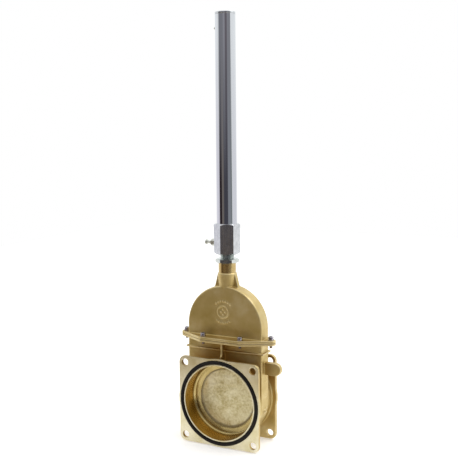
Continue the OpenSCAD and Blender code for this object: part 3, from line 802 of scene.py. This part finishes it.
bpy.ops.transform.resize(value=(knurl_share, knurl_share, 1), center_override=(0, 0, 0))
bpy.ops.object.mode_set(mode="OBJECT")
bpy.ops.object.select_all(action="DESELECT")
socket_half = 0.0025
socket_r = socket_half / math.cos(math.radians(30))
bpy.ops.mesh.primitive_cylinder_add(
    vertices=6, radius=socket_r, depth=0.006, location=(0, 0, high[2]),
)
socket = bpy.context.object
apply_modifier(screw, "BOOLEAN", operation="DIFFERENCE", object=socket, solver="EXACT")
bpy.data.objects.remove(socket)
screw.data.materials.append(zinc)
for side in screw_sides:
    node = f"bonnet_screw_{side}"
    low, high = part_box(node)
    placed = bpy.data.objects.new(f"socket_screw_{side}", screw.data.copy())
    bpy.context.scene.collection.objects.link(placed)
    placed.data.transform(Matrix.Translation(((low[0] + high[0]) / 2, (low[1] + high[1]) / 2, 0)))
    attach(placed, "valve")
    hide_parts(node)
    dress(f"bonnet_washer_{side}", zinc)
bpy.data.objects.remove(screw)


# The lock nut, a thin hexagon that jams the cylinder on the neck. Its top and bottom corners
# are turned to a cone. It is steel, plated with bright zinc that is passivated blue.
def hexagon_bar(name, width, low_z, high_z, chamfer, hollow, heading):
    """A hexagon with a flat at this heading, broken edges and this turned inside, top to foot."""
    bpy.ops.object.select_all(action="DESELECT")
    corner_r = width / 2 / math.cos(math.radians(30))
    bpy.ops.mesh.primitive_cylinder_add(
        vertices=6, radius=corner_r, depth=high_z - low_z, location=(0, 0, (low_z + high_z) / 2),
    )
    bar = bpy.context.object
    bar.name = name
    bpy.ops.object.transform_apply()
    bpy.ops.object.mode_set(mode="EDIT")
    bpy.ops.mesh.select_all(action="DESELECT")
    shape = bmesh.from_edit_mesh(bar.data)
    for line in shape.edges:
        line.select = abs(line.verts[0].co.z - line.verts[1].co.z) > chamfer
    bpy.ops.mesh.bevel(offset=0.0004, segments=2, affect="EDGES")
    bpy.ops.object.mode_set(mode="OBJECT")
    spare = 0.0003
    face_r = width / 2 - spare
    outline = [(face_r, low_z), (corner_r + spare, low_z + chamfer)]
    outline += [(corner_r + spare, high_z - chamfer), (face_r, high_z)]
    outline += hollow + [(face_r, low_z)]
    blank_form = turned("turned_form", outline, 128)
    apply_modifier(bar, "BOOLEAN", operation="INTERSECT", object=blank_form, solver="EXACT")
    bpy.data.objects.remove(blank_form)
    bar.data.transform(Matrix.Rotation(math.radians(heading), 4, "Z"))
    select_only(bar)
    bpy.ops.object.shade_smooth_by_angle(angle=math.radians(22))
    return bar


# Blue passivated zinc: smooth flats that mirror the room softly, with a cool green tinge that
# comes and goes over 6 mm
blue_zinc = plated("blue_passivated_zinc", 180, "#b4bab6", "#cacecb", 0.10, 0.17)

on_axis = Matrix.Translation((0, middle_y, 0))
port_heading = 176
nut_heading = port_heading + 54
thread_r = 0.014
fit_gap = 0.00005
low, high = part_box("lock_nut")
nut_width = 0.041
nut_chamfer = 0.0015
nut = hexagon_bar(
    "jam_nut", nut_width, low[2], high[2], nut_chamfer,
    [(thread_r + fit_gap, high[2]), (thread_r + fit_gap, low[2])], nut_heading,
)
nut.data.transform(on_axis)
nut.data.materials.append(blue_zinc)
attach(nut, "valve")
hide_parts("lock_nut")

# The cylinder's head, drawn hexagon bar of bright steel, bored for the tube. A flat faces
# the port, and its threaded spigot screws into the neck.

# Bright drawn steel: a clean grey shine, blurred a little sideways by the lines that the die
# leaves along the bar. They are about 0.1 mm wide, drawn at 2.4 mm so that they show.
drawn_steel, tree = blank("bright_drawn_steel")
where = add(tree, "ShaderNodeTexCoord").outputs["Object"]
along = add(tree, "ShaderNodeMapping", {"Vector": where, "Scale": (420, 420, 14)})
streaks = add(tree, "ShaderNodeTexNoise", {"Vector": along.outputs[0], "Scale": 1, "Detail": 4})
spots = add(tree, "ShaderNodeTexNoise", {"Vector": where, "Scale": 120, "Detail": 4})
tone = add(
    tree, "ShaderNodeValToRGB", {0: spots.outputs["Fac"]}, [(0.35, "#b8babd"), (0.65, "#cacccf")],
)
dull = add(
    tree, "ShaderNodeMapRange",
    {"Value": streaks.outputs["Fac"], "From Min": 0.3, "From Max": 0.7,
     "To Min": 0.14, "To Max": 0.23},
)
relief = add(
    tree, "ShaderNodeBump",
    {"Height": streaks.outputs["Fac"], "Strength": 0.08, "Distance": 0.0002},
)
skin = add(
    tree, "ShaderNodeBsdfPrincipled",
    {"Base Color": tone.outputs[0], "Metallic": 1, "Roughness": dull.outputs[0],
     "Normal": relief.outputs[0]},
)
add(tree, "ShaderNodeOutputMaterial", {"Surface": skin.outputs[0]})

bare_thread = 0.0095
head_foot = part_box("lock_nut")[1][2] + bare_thread
low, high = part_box("cylinder_head")
tube_socket_l = 0.020
chamber_rise = 0.0137
socket_z = high[2] - tube_socket_l
chamber_z = head_foot + chamber_rise
chamber_r = 0.016
tube_fit_r = 0.02005
rod_r = 0.01005
spigot_bore_r = 0.011
head_width = 0.045
head_chamfer = 0.003
head = hexagon_bar(
    "hexagon_head", head_width, head_foot, high[2], head_chamfer,
    [(tube_fit_r, high[2]), (tube_fit_r, socket_z), (chamber_r, socket_z), (chamber_r, chamber_z),
     (rod_r, chamber_z), (rod_r, head_foot)],
    port_heading,
)
pitch = 0.0015
thread_depth = 0.0008
overlap = 0.001
spigot_top = head_foot + overlap
outline = [(spigot_bore_r, low[2]), (thread_r - thread_depth, low[2])]
for step in range(int((head_foot - low[2]) / pitch)):
    crest = low[2] + pitch * (step + 0.5)
    outline += [(thread_r, crest), (thread_r - thread_depth, crest + pitch / 2)]
outline += [(thread_r - thread_depth, spigot_top), (spigot_bore_r, spigot_top)]
outline += [(spigot_bore_r, low[2])]
spigot = turned("spigot", outline, 96)
apply_modifier(head, "BOOLEAN", operation="UNION", object=spigot, solver="EXACT")
bpy.data.objects.remove(spigot)
head.data.transform(on_axis)
head.data.materials.append(drawn_steel)
head.data.materials.append(blue_zinc)
below_head = head_foot - 0.0001
for face in head.data.polygons:
    face.material_index = 1 if face.center.z < below_head else 0
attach(head, "valve")
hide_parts("cylinder_head")

# The hydraulic fitting and the vent plug, turned from steel with a dull grey-green plating,
# which gives small, soft highlights. It is uneven over 3 mm.
dull_plate = plated(
    "dull_plated_fitting", 300, "#c6c8c0", "#dbddd5", 0.32, 0.48, metallic=0.8,
)
for node in ("port_adapter", "port_nipple", "vent_plug"):
    dress(node, dull_plate)

# The cylinder's tube, honed inside and ground and chromed outside: a mirror with the faintest
# lines along it, finer than 0.1 mm and drawn at 4 mm so that they show. A flat cap turned from
# the head's bright steel closes its top.
chrome, tree = blank("ground_hard_chrome")
where = add(tree, "ShaderNodeTexCoord").outputs["Object"]
along = add(tree, "ShaderNodeMapping", {"Vector": where, "Scale": (260, 260, 5)})
lines = add(tree, "ShaderNodeTexNoise", {"Vector": along.outputs[0], "Scale": 1, "Detail": 3})
tone = add(
    tree, "ShaderNodeValToRGB", {0: lines.outputs["Fac"]}, [(0.35, "#c4c5ca"), (0.65, "#cccdd2")],
)
dull = add(
    tree, "ShaderNodeMapRange",
    {"Value": lines.outputs["Fac"], "From Min": 0.3, "From Max": 0.7,
     "To Min": 0.05, "To Max": 0.09},
)
skin = add(
    tree, "ShaderNodeBsdfPrincipled",
    {"Base Color": tone.outputs[0], "Metallic": 1, "Roughness": dull.outputs[0]},
)
add(tree, "ShaderNodeOutputMaterial", {"Surface": skin.outputs[0]})

low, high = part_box("cylinder_tube")
tube_r = (high[0] - low[0]) / 2
outline = [(chamber_r, low[2]), (tube_r, low[2]), (tube_r, high[2])]
outline += [(chamber_r, high[2]), (chamber_r, low[2])]
tube = turned("chromed_tube", outline, 192)
tube.data.transform(on_axis)
tube.data.materials.append(chrome)
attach(tube, "valve")
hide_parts("cylinder_tube")

cap_low, cap_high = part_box("cylinder_cap")
plug_r = chamber_r - fit_gap
edge = 0.0008
outline = [(0, cap_low[2]), (plug_r - edge, cap_low[2])]
outline += [(plug_r, cap_low[2] + edge), (plug_r, high[2])]
outline += arc((tube_r - edge, high[2] + edge), edge, -90, 0, 4)
outline += arc((tube_r - edge, cap_high[2] - edge), edge, 0, 90, 6) + [(0, cap_high[2])]
cap = turned("flat_cap", outline, 128)
cap.data.transform(on_axis)
cap.data.materials.append(drawn_steel)
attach(cap, "valve")
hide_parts("cylinder_cap")

# Inside the cylinder: the chromed rod that carries the gate, its piston and nut in plated
# steel, the rubber seals, and the bronze-coloured bush that guides the rod through the neck.
inside = {
    "piston_rod": chrome, "piston": zinc, "piston_nut": zinc, "piston_seal": nitrile,
    "rod_seal": nitrile, "guide_bush": neck_brass,
}
for node, finish in inside.items():
    dress(node, finish)
